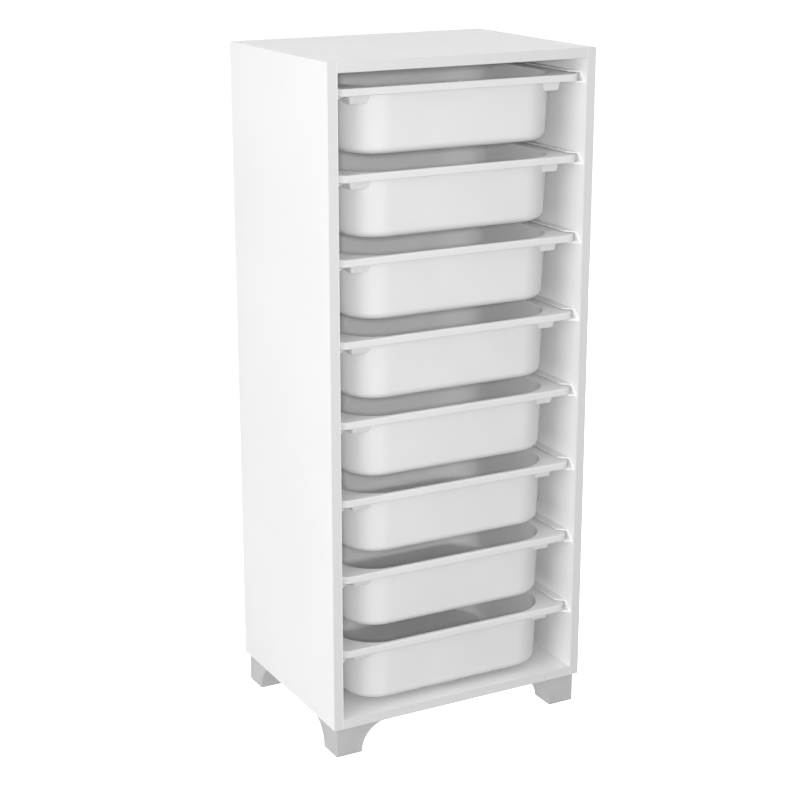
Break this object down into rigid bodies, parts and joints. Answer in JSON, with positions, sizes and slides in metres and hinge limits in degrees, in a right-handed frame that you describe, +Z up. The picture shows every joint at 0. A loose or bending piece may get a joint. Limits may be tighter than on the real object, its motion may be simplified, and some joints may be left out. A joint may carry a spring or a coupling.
{
  "type": "tray storage unit",
  "caption": "Tall white board storage unit on grey feet, open at the front, with a column of moulded plastic trays that slide on side runners.",
  "frame": {"origin": "on the floor, under the middle of the cabinet", "axes": "+Z up, -Y towards the open front, +X to the right as seen from the front"},
  "size_m": [0.46, 0.35, 1.1],
  "materials": {
    "white_board": "white laminate on chipboard, satin",
    "white_back": "white painted fibreboard, matt",
    "tray_plastic": "white moulded plastic, satin",
    "runner_plastic": "white moulded plastic, satin",
    "grey_plastic": "light grey moulded plastic, satin",
    "zinc": "zinc plated",
    "beech": "raw beech"
  },
  "bodies": {
    "cabinet": {"left_side_panel": "white_board", "right_side_panel": "white_board", "top_panel": "white_board", "bottom_panel": "white_board", "back_panel": "white_back", "left_runner_1": "runner_plastic", "left_runner_2": "runner_plastic", "left_runner_3": "runner_plastic", "left_runner_4": "runner_plastic", "left_runner_5": "runner_plastic", "left_runner_6": "runner_plastic", "left_runner_7": "runner_plastic", "left_runner_8": "runner_plastic", "right_runner_1": "runner_plastic", "right_runner_2": "runner_plastic", "right_runner_3": "runner_plastic", "right_runner_4": "runner_plastic", "right_runner_5": "runner_plastic", "right_runner_6": "runner_plastic", "right_runner_7": "runner_plastic", "right_runner_8": "runner_plastic", "foot_front_left": "grey_plastic", "foot_front_right": "grey_plastic", "foot_rear_right": "grey_plastic", "foot_rear_left": "grey_plastic", "foot_screw_front_left": "zinc", "foot_screw_front_right": "zinc", "foot_screw_rear_right": "zinc", "foot_screw_rear_left": "zinc", "cam_top_left_front": "zinc", "cam_top_left_rear": "zinc", "cam_top_right_front": "zinc", "cam_top_right_rear": "zinc", "cam_bottom_left_front": "zinc", "cam_bottom_left_rear": "zinc", "cam_bottom_right_front": "zinc", "cam_bottom_right_rear": "zinc", "cam_bolt_top_left_front": "zinc", "cam_bolt_top_left_rear": "zinc", "cam_bolt_top_right_front": "zinc", "cam_bolt_top_right_rear": "zinc", "cam_bolt_bottom_left_front": "zinc", "cam_bolt_bottom_left_rear": "zinc", "cam_bolt_bottom_right_front": "zinc", "cam_bolt_bottom_right_rear": "zinc", "dowel_top_left": "beech", "dowel_top_right": "beech", "dowel_bottom_left": "beech", "dowel_bottom_right": "beech"},
    "tray_1_body": {"tray_1": "tray_plastic"},
    "tray_2_body": {"tray_2": "tray_plastic"},
    "tray_3_body": {"tray_3": "tray_plastic"},
    "tray_4_body": {"tray_4": "tray_plastic"},
    "tray_5_body": {"tray_5": "tray_plastic"},
    "tray_6_body": {"tray_6": "tray_plastic"},
    "tray_7_body": {"tray_7": "tray_plastic"},
    "tray_8_body": {"tray_8": "tray_plastic"}
  },
  "joints": [
    {"name": "tray_1_slide", "type": "slide", "parent": "cabinet", "child": "tray_1_body", "axis": [0, -1, 0], "range_m": [0, 0.32]},
    {"name": "tray_2_slide", "type": "slide", "parent": "cabinet", "child": "tray_2_body", "axis": [0, -1, 0], "range_m": [0, 0.32]},
    {"name": "tray_3_slide", "type": "slide", "parent": "cabinet", "child": "tray_3_body", "axis": [0, -1, 0], "range_m": [0, 0.32]},
    {"name": "tray_4_slide", "type": "slide", "parent": "cabinet", "child": "tray_4_body", "axis": [0, -1, 0], "range_m": [0, 0.32]},
    {"name": "tray_5_slide", "type": "slide", "parent": "cabinet", "child": "tray_5_body", "axis": [0, -1, 0], "range_m": [0, 0.32]},
    {"name": "tray_6_slide", "type": "slide", "parent": "cabinet", "child": "tray_6_body", "axis": [0, -1, 0], "range_m": [0, 0.32]},
    {"name": "tray_7_slide", "type": "slide", "parent": "cabinet", "child": "tray_7_body", "axis": [0, -1, 0], "range_m": [0, 0.32]},
    {"name": "tray_8_slide", "type": "slide", "parent": "cabinet", "child": "tray_8_body", "axis": [0, -1, 0], "range_m": [0, 0.32]}
  ]
}
